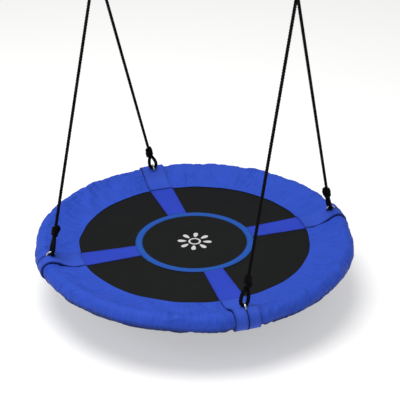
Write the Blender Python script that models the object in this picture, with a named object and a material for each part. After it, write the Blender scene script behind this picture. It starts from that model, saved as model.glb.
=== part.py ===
"""Round saucer swing on four ropes: padded steel rim, fabric seat, two rope pairs, rings and snap hooks.

Units are metres and +Z is up. The origin lies on the hang axis, midway between the two points where
the hooks of a beam carry the snap hooks. +X runs from the left rope pair to the right one, so the
seat swings towards +Y and -Y. Run it with: blender --background --python part.py
"""
from math import asin, cos, degrees, pi, radians, sin, sqrt, tan

import bmesh
import bpy
from mathutils import Matrix, Vector

# ---- seat ----
SEAT_DIAMETER = 1.000          # over the cover of the rim
RIM_THICKNESS = 0.052          # over the cover, around the padded tube
MAT_RADIUS = 0.364             # visible radius of the mat, out to the hem of the rim cover
MAT_THICKNESS = 0.0020
MAT_SEAM = 0.012               # how far the mat runs in under the hem of the cover
TUBE_ABOVE_MAT = 0.002         # centre of the rim tube above the top of the mat
COVER_THICKNESS = 0.0012
SPOKE_WIDTH_AT_HUB = 0.064
SPOKE_WIDTH_AT_RIM = 0.080
PATCH_THICKNESS = 0.0012       # spokes, hub ring and hub disc, all sewn onto the mat
PATCH_GAP = 0.0008             # between the edges of two patches
HUB_RING_RADIUS = 0.1875
HUB_RING_WIDTH = 0.0225

# ---- steel rim and its padding ----
TUBE_DIAMETER = 0.025
TUBE_WALL = 0.0015
SPIGOT_LENGTH = 0.044          # reduced end of each quarter, pushed into the next quarter
SPIGOT_CLEARANCE = 0.0003
SPIGOT_NECK = 0.0030           # length over which the bore narrows ahead of the spigot
FOAM_CLEARANCE = 0.0003        # foam to tube, and foam to cover
FOAM_END_GAP = 0.034           # bare tube on each side of an eye bolt

# ---- flaps over the hanging points ----
FLAP_WIDTH = 0.078
FLAP_THICKNESS = 0.0018
FLAP_CLEARANCE = 0.0008
FLAP_END_ANGLE = -106.0        # where the flap ends under the rim, in degrees around the tube
SLIT_WIDTH = 0.0015

# ---- closure under the rim: hem of the cover and hook-and-loop band ----
HEM_TURN = 288.0               # how far the cover goes around the tube before its hem turns in
HEM_INSET = 0.0050             # from the inner side of the padded tube to the fold of the hem
BAND_WIDTH = 0.020
BAND_THICKNESS = 0.0020

# ---- eye bolts ----
EYE_TILT = 20.0                # lean towards the seat's centre, in degrees, in line with the pull
EYE_HOLE_DIAMETER = 0.020
EYE_ROD = 0.006
SHANK_DIAMETER = 0.008
COLLAR_DIAMETER = 0.015
EYE_SUNK = 0.0010              # how far the ring's steel runs into the collar
WASHER_DIAMETER = 0.016
NUT_WIDTH = 0.013              # across flats
HOLE_CLEARANCE = 0.0003        # radial, around a shank
SLOT_CLEARANCE = 0.0020        # around an eye, in cover and flap

# ---- ropes ----
ROPE_DIAMETER = 0.0085
ROPE_DROP = 0.830              # from the middle of the top knot down to the bars of the eyes
LOWER_LOOP_LENGTH = 0.054      # from the eye up to the knot
LOOP_WIDTH = 0.024             # over the middles of the two legs
LOOP_SHAPE = ((0.78, 0.70), (1.0, 0.38), (0.82, 0.12))     # shares of half the width and of the length
LEGS_APART = 0.52              # from a loop's middle to each leg where they meet, in rope diameters
KNOT_HEIGHT = 0.040
KNOT_DIAMETER = 0.029
KNOT_END = 0.62                # radius of a knot's flat end, in rope diameters
KNOT_SHAPE = ((0.86, 0.72), (1.0, 0.25))                   # shares of the radius and of half the height
TOP_KNOT_RADIUS = 0.019
TOP_LOOP_LENGTH = 0.060        # from the middle of the top knot up to the bend on the ring
RING_ROPE_GAP = 0.0010         # between a top loop and the steel ring that it hangs on
EYE_ROPE_GAP = 0.0018          # between a lower loop and its eye, wide enough for the loop to lean
FACE_GAP = 0.0003              # between pieces that meet

# ---- rings and snap hooks ----
RING_ROD = 0.008
RING_HOLE_DIAMETER = 0.032
HOOK_ROD = 0.008
HOOK_LENGTH = 0.080            # over the steel
HOOK_WIDTH = 0.040
GATE_LENGTH = 0.036            # between the shoulders of the hook's two ends
GATE_GAP = 0.0005
GATE_FOOT_GAP = 0.0022         # under the gate's lower end, which turns on its pin
TANG_THICKNESS = 0.003
TANG_LENGTH = 0.0085
TANG_ROOT = 0.002              # how far a tang starts inside its rod
TANG_WIDTH = 0.72              # in rod diameters
TANG_CLEARANCE = 0.0003
TANG_END_GAP = 0.0010          # between a tang's end and the bottom of its slot in the gate
PIN_DIAMETER = 0.0024
PIN_CLEARANCE = 0.0002
PIN_FROM_SHOULDER = 0.0055

# ---- fineness of the round shapes ----
RIM_SEGMENTS = 40
TUBE_SIDES = 10
SKIRT_STEPS = 4
FLAP_COLUMNS = 4
ROD_SIDES = 8
EYE_STEPS = 14
RING_STEPS = 18
ROPE_POINT_SPACING = 0.0250
LOOP_POINTS = 19
BOW_STEPS = 8                  # along each round end of a snap hook
SPOKE_STEPS = 2
KNOT_BALL_STEPS = 8
KNOT_BALL_SIDES = 12

CUTTER_TURN = 7.0              # degrees, so that a cutter's edges don't fall on a tube's own edges
CUTTER_PAST = 0.004            # how far a slot's cutter runs past the end of its piece
SKIRT_ANGLE = 110.0            # where the cover's skirt leaves the padded tube, in degrees around the tube
SKIRT_RISE = 0.06              # slope of the skirt at the edge of the mat
STATION_MARGIN = 0.5           # degrees, from a foam sleeve's end to its next station

# ---- places worked out from the sizes above ----
TUBE_RADIUS = TUBE_DIAMETER / 2
RIM_RADIUS = (SEAT_DIAMETER - RIM_THICKNESS) / 2
COVER_RADIUS = RIM_THICKNESS / 2
SECTION_ANGLES = [radians(SKIRT_ANGLE - 360.0 * i / TUBE_SIDES) for i in range(TUBE_SIDES)]

CLOSURE_RADIUS = RIM_RADIUS - COVER_RADIUS - HEM_INSET

PADDING = COVER_RADIUS - TUBE_RADIUS   # room for foam and for the fittings of the eye bolts
COLLAR_HEIGHT = PADDING * 0.30
WASHER_THICKNESS = PADDING * 0.12
NUT_HEIGHT = PADDING * 0.36
SHANK_PAST_NUT = PADDING * 0.10

EYE_RADIUS = (EYE_HOLE_DIAMETER + EYE_ROD) / 2
EYE_CENTRE = TUBE_RADIUS + FACE_GAP + COLLAR_HEIGHT + EYE_RADIUS + EYE_ROD / 2 - EYE_SUNK
EYE_BAR = EYE_CENTRE + EYE_RADIUS      # bar that the rope pulls on, along the bolt from the tube's centre
BAR_TO_BEND = (EYE_ROD + ROPE_DIAMETER) / 2 + EYE_ROPE_GAP
BAR_CIRCLE = RIM_RADIUS - sin(radians(EYE_TILT)) * EYE_BAR
HALF_SPAN = BAR_CIRCLE / sqrt(2)       # hooks are straight above the line of the eyes

CROWN_Z = HOOK_ROD / 2
FOOT_Z = CROWN_Z - (HOOK_LENGTH - HOOK_ROD)
RING_RADIUS = (RING_HOLE_DIAMETER + RING_ROD) / 2
RING_Z = FOOT_Z + (HOOK_ROD + RING_ROD) / 2 + FACE_GAP - RING_RADIUS
RING_FOOT_Z = RING_Z - RING_RADIUS
LOOP_TOP_Z = RING_FOOT_Z + (RING_ROD + ROPE_DIAMETER) / 2 + RING_ROPE_GAP
KNOT_Z = LOOP_TOP_Z - TOP_LOOP_LENGTH
EYE_BAR_Z = KNOT_Z - ROPE_DROP
TUBE_Z = EYE_BAR_Z - cos(radians(EYE_TILT)) * EYE_BAR
MAT_Z = TUBE_Z - TUBE_ABOVE_MAT

CORNERS = {
    "front_left": (-1, -1),
    "back_left": (-1, 1),
    "front_right": (1, -1),
    "back_right": (1, 1),
}
SIDES = {"left": -1, "right": 1}


# ---- helpers ----

def make_material(name, colour, roughness, metallic=0.0):
    material = bpy.data.materials.new(name)
    material.use_nodes = True
    shader = material.node_tree.nodes["Principled BSDF"]
    shader.inputs["Base Color"].default_value = (*colour, 1.0)
    shader.inputs["Roughness"].default_value = roughness
    shader.inputs["Metallic"].default_value = metallic
    return material


def make_empty(name, place, parent=None):
    """An empty on a joint's axis; its children's world places stay in the part's frame."""
    empty = bpy.data.objects.new(name, None)
    bpy.context.scene.collection.objects.link(empty)
    empty.empty_display_size = 0.03
    empty.parent = parent
    empty.location = Vector(place) - (world_place(parent) if parent else Vector())
    return empty


def world_place(empty):
    place = Vector()
    while empty is not None:
        place += empty.location
        empty = empty.parent
    return place


def add_object(name, data, material, pivot, matrix=None):
    """Place an object by its world matrix, as a child of its body's pivot."""
    obj = bpy.data.objects.new(name, data)
    bpy.context.scene.collection.objects.link(obj)
    if data.materials:
        data.materials[0] = material
    else:
        data.materials.append(material)
    obj.matrix_basis = matrix or Matrix()
    obj.parent = pivot
    obj.location -= world_place(pivot)
    return obj


def mesh_from(name, vertices, faces, sharp_angle=40.0):
    mesh = bpy.data.meshes.new(name)
    mesh.from_pydata([tuple(v) for v in vertices], [], faces)
    work = bmesh.new()
    work.from_mesh(mesh)
    bmesh.ops.recalc_face_normals(work, faces=work.faces)
    work.to_mesh(mesh)
    work.free()
    shade(mesh, sharp_angle)
    return mesh


def shade(mesh, sharp_angle=40.0):
    mesh.shade_smooth()
    mesh.set_sharp_from_angle(angle=radians(sharp_angle))


def boolean(mesh, tool, operation):
    """The mesh joined with, or cut by, a tool mesh that lies in the same frame."""
    target = bpy.data.objects.new("target", mesh)
    cutter = bpy.data.objects.new("cutter", tool)
    for obj in (target, cutter):
        bpy.context.scene.collection.objects.link(obj)
    modifier = target.modifiers.new(operation, "BOOLEAN")
    modifier.operation = operation
    modifier.solver = "EXACT"
    modifier.object = cutter
    bpy.context.view_layer.update()
    evaluated = target.evaluated_get(bpy.context.evaluated_depsgraph_get())
    result = bpy.data.meshes.new_from_object(evaluated)
    bpy.data.objects.remove(target)
    bpy.data.objects.remove(cutter)
    shade(result)
    return result


def moved(mesh, matrix):
    copy = mesh.copy()
    copy.transform(matrix)
    return copy


def lathe(name, outline, sides=ROD_SIDES):
    """Turn an (r, z) outline about local Z; ends at r = 0 close to a point."""
    vertices = []
    rows = []
    for r, z in outline:
        if r == 0:
            rows.append([len(vertices)] * sides)
            vertices.append((0, 0, z))
            continue
        rows.append(list(range(len(vertices), len(vertices) + sides)))
        turns = [2 * pi * k / sides for k in range(sides)]
        vertices.extend((r * cos(t), r * sin(t), z) for t in turns)
    faces = []
    for low, high in zip(rows, rows[1:]):
        for k in range(sides):
            corners = [low[k], low[(k + 1) % sides], high[(k + 1) % sides], high[k]]
            faces.append(list(dict.fromkeys(corners)))
    return mesh_from(name, vertices, faces)


def flat_ring(name, outer, inner, low, high, sides=TUBE_SIDES):
    """A washer shape about local Z; its two circles share the number of sides."""
    outline = [(outer, low), (outer, high), (inner, high), (inner, low)]
    rows = []
    vertices = []
    for r, z in outline:
        rows.append(list(range(len(vertices), len(vertices) + sides)))
        turns = [2 * pi * k / sides for k in range(sides)]
        vertices.extend((r * cos(t), r * sin(t), z) for t in turns)
    faces = []
    for a, b in zip(rows, rows[1:] + rows[:1]):
        faces.extend([a[k], a[(k + 1) % sides], b[(k + 1) % sides], b[k]] for k in range(sides))
    return mesh_from(name, vertices, faces)


def box(low, high):
    (x0, y0, z0), (x1, y1, z1) = low, high
    vertices = [(x, y, z) for z in (z0, z1) for y in (y0, y1) for x in (x0, x1)]
    faces = [(0, 2, 3, 1), (4, 5, 7, 6), (0, 1, 5, 4), (2, 6, 7, 3), (0, 4, 6, 2), (1, 3, 7, 5)]
    return mesh_from("box", vertices, faces)


def rod(name, points, radius, sides=ROD_SIDES, closed=False):
    """A round rod along points in the XZ plane."""
    count = len(points)
    vertices = []
    for i, (x, z) in enumerate(points):
        before = points[i - 1] if (closed or i > 0) else points[0]
        after = points[(i + 1) % count] if (closed or i < count - 1) else points[-1]
        along = Vector((after[0] - before[0], 0, after[1] - before[1])).normalized()
        out = along.cross(Vector((0, 1, 0)))
        for k in range(sides):
            turn = 2 * pi * (k + 0.5) / sides
            vertices.append(Vector((x, 0, z)) + radius * (cos(turn) * out + sin(turn) * Vector((0, 1, 0))))
    faces = []
    for i in range(count if closed else count - 1):
        row, following = i * sides, (i + 1) % count * sides
        for k in range(sides):
            nxt = (k + 1) % sides
            faces.append([row + k, row + nxt, following + nxt, following + k])
    if not closed:
        faces.append(list(range(sides)))
        faces.append(list(range((count - 1) * sides, count * sides)))
    return mesh_from(name, vertices, faces, 60.0)


def circle(radius, steps, centre=(0.0, 0.0), start=0.0, end=360.0, ends=False):
    last = steps + 1 if ends else steps
    turns = [radians(start + (end - start) * i / steps) for i in range(last)]
    return [(centre[0] + radius * cos(t), centre[1] + radius * sin(t)) for t in turns]


def smooth_curve(points, count):
    """Points spread evenly along a Catmull-Rom curve through the given points."""
    knots = [Vector(p) for p in points]
    padded = [2 * knots[0] - knots[1]] + knots + [2 * knots[-1] - knots[-2]]
    fine = []
    for a, b, c, d in zip(padded, padded[1:], padded[2:], padded[3:]):
        for step in range(20):
            t = step / 20
            fine.append(0.5 * (2 * b + (c - a) * t + (2 * a - 5 * b + 4 * c - d) * t ** 2
                               + (3 * b - a - 3 * c + d) * t ** 3))
    fine.append(knots[-1])
    lengths = [0.0]
    for a, b in zip(fine, fine[1:]):
        lengths.append(lengths[-1] + (b - a).length)
    even = []
    piece = 0
    for i in range(count):
        goal = lengths[-1] * i / (count - 1)
        while piece < len(fine) - 2 and lengths[piece + 1] < goal:
            piece += 1
        share = (goal - lengths[piece]) / (lengths[piece + 1] - lengths[piece])
        even.append(fine[piece].lerp(fine[piece + 1], min(max(share, 0.0), 1.0)))
    return even


def rope(name, points, material, pivot):
    """A cord as a curve with a round bevel and filled caps."""
    curve = bpy.data.curves.new(name, "CURVE")
    curve.dimensions = "3D"
    curve.bevel_depth = ROPE_DIAMETER / 2
    curve.bevel_resolution = 2
    curve.use_fill_caps = True
    line = curve.splines.new("POLY")
    line.points.add(len(points) - 1)
    start = world_place(pivot)
    for target, point in zip(line.points, points):
        target.co = (*(Vector(point) - start), 1.0)
    obj = bpy.data.objects.new(name, curve)
    bpy.context.scene.collection.objects.link(obj)
    curve.materials.append(material)
    obj.parent = pivot
    return obj


# ---- shapes around the rim ----

def on_rim(angle, r, z):
    """A point at an angle around the seat, on the flat facets between the rim's stations."""
    half = 180.0 / RIM_SEGMENTS
    from_middle = angle % (2 * half) - half
    facet = r * cos(radians(half)) / cos(radians(from_middle))
    t = radians(angle)
    return Vector((facet * cos(t), facet * sin(t), z))


def swept_outline(name, outline, segments=RIM_SEGMENTS):
    """A closed (r, z) outline carried once around the seat."""
    vertices = []
    for i in range(segments):
        vertices.extend(on_rim(360.0 * i / segments, r, z) for r, z in outline)
    size = len(outline)
    faces = []
    for i in range(segments):
        here, there = i * size, (i + 1) % segments * size
        for k in range(size):
            nxt = (k + 1) % size
            faces.append([here + k, here + nxt, there + nxt, there + k])
    return mesh_from(name, vertices, faces)


def arc_tube(name, stations):
    """A hollow tube along the rim through (angle, outer radius, inner radius) stations."""
    vertices = []
    for angle, outer, inner in stations:
        for radius in (outer, inner):
            for t in SECTION_ANGLES:
                vertices.append(on_rim(angle, RIM_RADIUS + radius * cos(t), TUBE_ABOVE_MAT + radius * sin(t)))
    sides = len(SECTION_ANGLES)
    faces = []
    for i in range(len(stations) - 1):
        for wall in (0, sides):
            here, there = 2 * sides * i + wall, 2 * sides * (i + 1) + wall
            for k in range(sides):
                nxt = (k + 1) % sides
                faces.append([here + k, here + nxt, there + nxt, there + k])
    for i in (0, len(stations) - 1):
        outer, inner = 2 * sides * i, 2 * sides * i + sides
        for k in range(sides):
            nxt = (k + 1) % sides
            faces.append([outer + k, outer + nxt, inner + nxt, inner + k])
    return mesh_from(name, vertices, faces)


def skirt_path(lift):
    """(r, z) points of the cover's outside, lifted by a distance, from the hem to the tube."""
    reach = COVER_RADIUS + lift
    leave = radians(SKIRT_ANGLE)
    end = Vector((RIM_RADIUS + reach * cos(leave), TUBE_ABOVE_MAT + reach * sin(leave)))
    start = Vector((MAT_RADIUS, FACE_GAP + COVER_THICKNESS + lift))
    reach_in = (end.x - start.x) / 3
    start_pull = start + reach_in * Vector((1.0, SKIRT_RISE))
    end_pull = end - reach_in * Vector((1.0, -1.0 / tan(leave)))
    points = []
    for i in range(SKIRT_STEPS):
        t = i / SKIRT_STEPS
        u = 1 - t
        points.append(u ** 3 * start + 3 * u * u * t * start_pull + 3 * u * t * t * end_pull + t ** 3 * end)
    return [(p.x, p.y) for p in points]


def rim_path(lift, last_angle):
    """(r, z) points of the cover's outside, lifted, from the hem over the tube to an angle under it."""
    reach = COVER_RADIUS + lift
    around = [t for t in SECTION_ANGLES if degrees(t) >= last_angle - 0.01]
    return skirt_path(lift) + [(RIM_RADIUS + reach * cos(t), TUBE_ABOVE_MAT + reach * sin(t)) for t in around]


def under_skirt(depth, outer):
    """(r, z) points at a depth under the skirt, from a radius in to the band's inner edge."""
    inner = CLOSURE_RADIUS - BAND_WIDTH
    path = rim_path(-COVER_THICKNESS, 0.0)
    points = [(r, z) for r, z in path if inner < r < outer]
    for (r0, z0), (r1, z1) in zip(path, path[1:]):
        for r in (outer, inner):
            if r0 <= r < r1:
                points.append((r, z0 + (z1 - z0) * (r - r0) / (r1 - r0)))
    return [(r, z - depth) for r, z in sorted(points, reverse=True)]


def cover_paths():
    """Outside and inside (r, z) paths of the rim cover, with the hem that turns in under the band."""
    leave = SKIRT_ANGLE - HEM_TURN
    above = 2 * FACE_GAP + BAND_THICKNESS
    outside = rim_path(0.0, leave) + under_skirt(above + COVER_THICKNESS, CLOSURE_RADIUS)
    inside = rim_path(-COVER_THICKNESS, leave) + under_skirt(above, CLOSURE_RADIUS + COVER_THICKNESS)
    return outside, inside


def radial_strip(name, top, bottom, widths, angle, columns=FLAP_COLUMNS):
    """A strip along a radius: (r, z) paths of its two faces and its width at each path point."""
    vertices = []
    for path in (top, bottom):
        for (r, z), width in zip(path, widths):
            for j in range(columns + 1):
                across = width * (j / columns - 0.5)
                vertices.append(on_rim(angle + degrees(asin(across / r)), r, z))
    rows, row = len(top), columns + 1
    faces = []
    for level in (0, rows * row):
        for i in range(rows - 1):
            for j in range(columns):
                k = level + i * row + j
                faces.append([k, k + 1, k + 1 + row, k + row])
    edge = [j for j in range(row)]
    edge += [i * row + row - 1 for i in range(1, rows)]
    edge += [(rows - 1) * row + j for j in range(row - 2, -1, -1)]
    edge += [i * row for i in range(rows - 2, 0, -1)]
    for a, b in zip(edge, edge[1:] + edge[:1]):
        faces.append([a, b, b + rows * row, a + rows * row])
    return mesh_from(name, vertices, faces)


def corner_angle(corner):
    sx, sy = CORNERS[corner]
    return {(1, 1): 45.0, (-1, 1): 135.0, (-1, -1): 225.0, (1, -1): 315.0}[(sx, sy)]


def eye_frame(corner):
    """Frame of an eye bolt in the seat: origin in the rim tube, Z along the bolt, X outwards."""
    angle = corner_angle(corner)
    place = Matrix.Translation(on_rim(angle, RIM_RADIUS, TUBE_ABOVE_MAT))
    return place @ Matrix.Rotation(radians(angle), 4, "Z") @ Matrix.Rotation(radians(-EYE_TILT), 4, "Y")


# ---- pieces of the seat ----

def shank_hole():
    radius = SHANK_DIAMETER / 2 + HOLE_CLEARANCE
    length = TUBE_DIAMETER
    cutter = lathe("hole", [(0, -length), (radius, -length), (radius, length), (0, length)], TUBE_SIDES)
    return moved(cutter, Matrix.Rotation(radians(CUTTER_TURN), 4, "Z"))


def make_frame_quarter(corner, following, pivot, seat, material):
    """Quarter of the rim tube: its open end is at this corner, its spigot enters the next quarter."""
    start = corner_angle(corner)
    spigot = degrees(SPIGOT_LENGTH / RIM_RADIUS)
    butt = degrees(FACE_GAP / RIM_RADIUS)
    first = start - spigot / 2
    shoulder = start + 90.0 - spigot / 2 - butt
    outer, inner = TUBE_RADIUS, TUBE_RADIUS - TUBE_WALL
    small = inner - SPIGOT_CLEARANCE
    pitch = 360.0 / RIM_SEGMENTS
    stations = [(first, outer, inner)]
    stations += [(start + pitch * i, outer, inner) for i in range(RIM_SEGMENTS // 4)]
    stations.append((shoulder - degrees(SPIGOT_NECK / RIM_RADIUS), outer, inner))
    stations.append((shoulder, outer, small - TUBE_WALL))
    for angle in (shoulder + butt / 4, start + 90.0, start + 90.0 + spigot / 2):
        stations.append((angle, small, small - TUBE_WALL))
    mesh = arc_tube(f"frame_tube_{corner}", stations)
    for end in (corner, following):
        mesh = boolean(mesh, moved(shank_hole(), eye_frame(end)), "DIFFERENCE")
    add_object(f"frame_tube_{corner}", mesh, material, pivot, seat)


def make_foam(corner, pivot, seat, material):
    gap = degrees(FOAM_END_GAP / RIM_RADIUS)
    start = corner_angle(corner) + gap
    end = corner_angle(corner) + 90.0 - gap
    outer = COVER_RADIUS - COVER_THICKNESS - FOAM_CLEARANCE
    inner = TUBE_RADIUS + FOAM_CLEARANCE
    pitch = 360.0 / RIM_SEGMENTS
    low, high = start + STATION_MARGIN, end - STATION_MARGIN
    between = [pitch * i for i in range(2 * RIM_SEGMENTS) if low < pitch * i < high]
    stations = [(angle, outer, inner) for angle in [start] + between + [end]]
    add_object(f"foam_sleeve_{corner}", arc_tube("foam", stations), material, pivot, seat)


def eye_slot():
    """Cutter for the slot that an eye stands in, in the eye's frame."""
    half_length = EYE_RADIUS + EYE_ROD / 2 + SLOT_CLEARANCE
    half_width = EYE_ROD / 2 + SLOT_CLEARANCE
    low = TUBE_RADIUS
    return box((-half_length, -half_width, low), (half_length, half_width, EYE_CENTRE + half_length))


def make_cover(pivot, seat, material):
    outside, inside = cover_paths()
    mesh = swept_outline("rim_cover", outside + inside[::-1])
    for corner in CORNERS:
        mesh = boolean(mesh, moved(eye_slot(), eye_frame(corner)), "DIFFERENCE")
    add_object("rim_cover", mesh, material, pivot, seat)


def make_flap(corner, pivot, seat, material):
    bottom = rim_path(FLAP_CLEARANCE, FLAP_END_ANGLE)
    top = rim_path(FLAP_CLEARANCE + FLAP_THICKNESS, FLAP_END_ANGLE)
    widths = [FLAP_WIDTH] * len(top)
    mesh = radial_strip("flap", top, bottom, widths, corner_angle(corner))
    mesh = boolean(mesh, moved(eye_slot(), eye_frame(corner)), "DIFFERENCE")
    reach = COVER_RADIUS * 2
    slit = box((0, -SLIT_WIDTH / 2, -reach), (reach, SLIT_WIDTH / 2, reach))
    mesh = boolean(mesh, moved(slit, eye_frame(corner)), "DIFFERENCE")
    add_object(f"hanging_flap_{corner}", mesh, material, pivot, seat)


def make_closure_band(pivot, seat, material):
    top = under_skirt(FACE_GAP, CLOSURE_RADIUS)
    bottom = under_skirt(FACE_GAP + BAND_THICKNESS, CLOSURE_RADIUS)
    add_object("closure_band", swept_outline("closure_band", top + bottom[::-1]), material, pivot, seat)


def make_mat(pivot, seat, material):
    radius = MAT_RADIUS + MAT_SEAM
    outline = [(0, -MAT_THICKNESS), (radius, -MAT_THICKNESS), (radius, 0), (0, 0)]
    add_object("seat_mat", lathe("seat_mat", outline, RIM_SEGMENTS), material, pivot, seat)


def make_hub(pivot, seat, ring_material, disc_material):
    low, high = FACE_GAP, FACE_GAP + PATCH_THICKNESS
    inner = HUB_RING_RADIUS - HUB_RING_WIDTH
    ring = flat_ring("hub_ring", HUB_RING_RADIUS, inner, low, high, RIM_SEGMENTS)
    add_object("hub_ring", ring, ring_material, pivot, seat)
    radius = inner - FACE_GAP
    disc = lathe("hub_disc", [(0, low), (radius, low), (radius, high), (0, high)], RIM_SEGMENTS)
    add_object("hub_disc", disc, disc_material, pivot, seat)


def make_spoke(corner, pivot, seat, material):
    inner = HUB_RING_RADIUS + PATCH_GAP
    outer = MAT_RADIUS - PATCH_GAP
    shares = [i / SPOKE_STEPS for i in range(SPOKE_STEPS + 1)]
    radii = [inner + (outer - inner) * share for share in shares]
    widths = [SPOKE_WIDTH_AT_HUB + (SPOKE_WIDTH_AT_RIM - SPOKE_WIDTH_AT_HUB) * share for share in shares]
    top = [(r, FACE_GAP + PATCH_THICKNESS) for r in radii]
    bottom = [(r, FACE_GAP) for r in radii]
    mesh = radial_strip("spoke", top, bottom, widths, corner_angle(corner))
    add_object(f"spoke_{corner}", mesh, material, pivot, seat)


def eye_bolt_mesh():
    """Eye bolt in its own frame: its ring stands in the XZ plane, its shank points down."""
    ring = rod("eye", circle(EYE_RADIUS, EYE_STEPS, (0.0, EYE_CENTRE)), EYE_ROD / 2, closed=True)
    foot = -(TUBE_RADIUS + FACE_GAP + WASHER_THICKNESS + FACE_GAP + NUT_HEIGHT + SHANK_PAST_NUT)
    shoulder = TUBE_RADIUS + FACE_GAP
    top = EYE_CENTRE - EYE_RADIUS
    shank, collar = SHANK_DIAMETER / 2, COLLAR_DIAMETER / 2
    outline = [(0, foot), (shank, foot), (shank, shoulder), (collar, shoulder),
               (collar, shoulder + COLLAR_HEIGHT), (0, max(top, shoulder + COLLAR_HEIGHT))]
    return boolean(ring, lathe("shank", outline, TUBE_SIDES), "UNION")


def make_eye_bolts(pivot, seat, steel):
    bolt = eye_bolt_mesh()
    hole = SHANK_DIAMETER / 2 + HOLE_CLEARANCE
    face = -TUBE_RADIUS - FACE_GAP
    washer = flat_ring("washer", WASHER_DIAMETER / 2, hole, face - WASHER_THICKNESS, face)
    top = face - WASHER_THICKNESS - FACE_GAP
    wide = NUT_WIDTH / sqrt(3)
    blank = lathe("nut", [(0, top - NUT_HEIGHT), (wide, top - NUT_HEIGHT), (wide, top), (0, top)], 6)
    bore_low, bore_high = top - 2 * NUT_HEIGHT, top + NUT_HEIGHT
    bore = lathe("bore", [(0, bore_low), (hole, bore_low), (hole, bore_high), (0, bore_high)], TUBE_SIDES)
    nut = boolean(blank, bore, "DIFFERENCE")
    for corner in CORNERS:
        frame = seat @ eye_frame(corner)
        add_object(f"eye_bolt_{corner}", bolt.copy(), steel, pivot, frame)
        add_object(f"eye_washer_{corner}", washer.copy(), steel, pivot, frame)
        add_object(f"eye_nut_{corner}", nut.copy(), steel, pivot, frame)


# ---- ropes ----

def knot_outline(radius, half_height):
    """Barrel with rounded shoulders and narrow flat ends, where the rope goes in."""
    end = ROPE_DIAMETER * KNOT_END
    upper = [(radius * across, half_height * up) for across, up in KNOT_SHAPE[::-1]]
    upper += [(end, half_height), (0, half_height)]
    return [(r, -z) for r, z in upper[::-1]] + upper


def loop_route(length, width):
    """(across, along) points of a rope loop from the knot around its bend and back."""
    leg = [(ROPE_DIAMETER * LEGS_APART, length)]
    leg += [(width / 2 * across, length * along) for across, along in LOOP_SHAPE]
    return leg + [(0.0, 0.0)] + [(-across, along) for across, along in leg[::-1]]


def make_lower_rope(corner, pivot, cord):
    sx, sy = CORNERS[corner]
    bar = Vector((sx * HALF_SPAN, sy * HALF_SPAN, EYE_BAR_Z))
    top = Vector((sx * HALF_SPAN, 0.0, KNOT_Z))
    along = (top - bar).normalized()
    eye = bar - along * BAR_TO_BEND
    tangent = Vector((-sy, sx, 0.0)).normalized()
    across = (tangent - tangent.dot(along) * along).normalized()
    loop = [eye + across * a + along * b for a, b in loop_route(LOWER_LOOP_LENGTH, LOOP_WIDTH)]
    rope(f"rope_loop_{corner}", smooth_curve(loop, LOOP_POINTS), cord, pivot)
    centre = eye + along * (LOWER_LOOP_LENGTH + FACE_GAP + KNOT_HEIGHT / 2)
    turn = along.to_track_quat("Z", "Y").to_matrix().to_4x4()
    knot = lathe("knot", knot_outline(KNOT_DIAMETER / 2, KNOT_HEIGHT / 2))
    add_object(f"rope_knot_{corner}", knot, cord, pivot, Matrix.Translation(centre) @ turn)
    start = centre + along * (KNOT_HEIGHT / 2 + FACE_GAP)
    end = top - along * (TOP_KNOT_RADIUS + FACE_GAP)
    count = max(2, round((end - start).length / ROPE_POINT_SPACING) + 1)
    rope(f"rope_{corner}", [start.lerp(end, i / (count - 1)) for i in range(count)], cord, pivot)


def make_top_rope(side, pivot, cord):
    x = SIDES[side] * HALF_SPAN
    turns = [pi * i / KNOT_BALL_STEPS for i in range(1, KNOT_BALL_STEPS)]
    outline = [(TOP_KNOT_RADIUS * sin(t), -TOP_KNOT_RADIUS * cos(t)) for t in turns]
    outline = [(0, -TOP_KNOT_RADIUS)] + outline + [(0, TOP_KNOT_RADIUS)]
    ball = lathe("top_knot", outline, KNOT_BALL_SIDES)
    add_object(f"top_knot_{side}", ball, cord, pivot, Matrix.Translation((x, 0, KNOT_Z)))
    length = TOP_LOOP_LENGTH - TOP_KNOT_RADIUS - FACE_GAP * 2
    loop = [Vector((x + a, 0.0, LOOP_TOP_Z - b)) for a, b in loop_route(length, LOOP_WIDTH)]
    rope(f"top_loop_{side}", smooth_curve(loop, LOOP_POINTS), cord, pivot)


# ---- rings and snap hooks ----

def make_top_ring(side, pivot, steel):
    """Steel ring in the YZ plane, hanging on the foot of the snap hook."""
    mesh = rod("top_ring", circle(RING_RADIUS, RING_STEPS), RING_ROD / 2, closed=True)
    turn = Matrix.Rotation(radians(90.0), 4, "Z")
    add_object(f"top_ring_{side}", mesh, steel, pivot,
               Matrix.Translation((SIDES[side] * HALF_SPAN, 0, RING_Z)) @ turn)


def hook_places():
    """Sizes of the snap hook about its own middle: bow radius, bow height and shoulder heights."""
    bow = (HOOK_WIDTH - HOOK_ROD) / 2
    bow_z = (HOOK_LENGTH - HOOK_ROD) / 2 - bow
    return bow, bow_z, GATE_LENGTH / 2


def tang(height, direction, side_x):
    """Flat tongue on a rod end, from the shoulder at a height, in a direction up or down."""
    near, far = height - direction * TANG_ROOT, height + direction * TANG_LENGTH
    half = HOOK_ROD * TANG_WIDTH / 2
    return box((side_x - half, -TANG_THICKNESS / 2, min(near, far)),
               (side_x + half, TANG_THICKNESS / 2, max(near, far)))


def pin_cylinder(radius, half_length, side_x, height):
    mesh = lathe("pin", [(0, -half_length), (radius, -half_length), (radius, half_length), (0, half_length)])
    return moved(mesh, Matrix.Translation((side_x, 0, height)) @ Matrix.Rotation(radians(90.0), 4, "X"))


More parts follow.
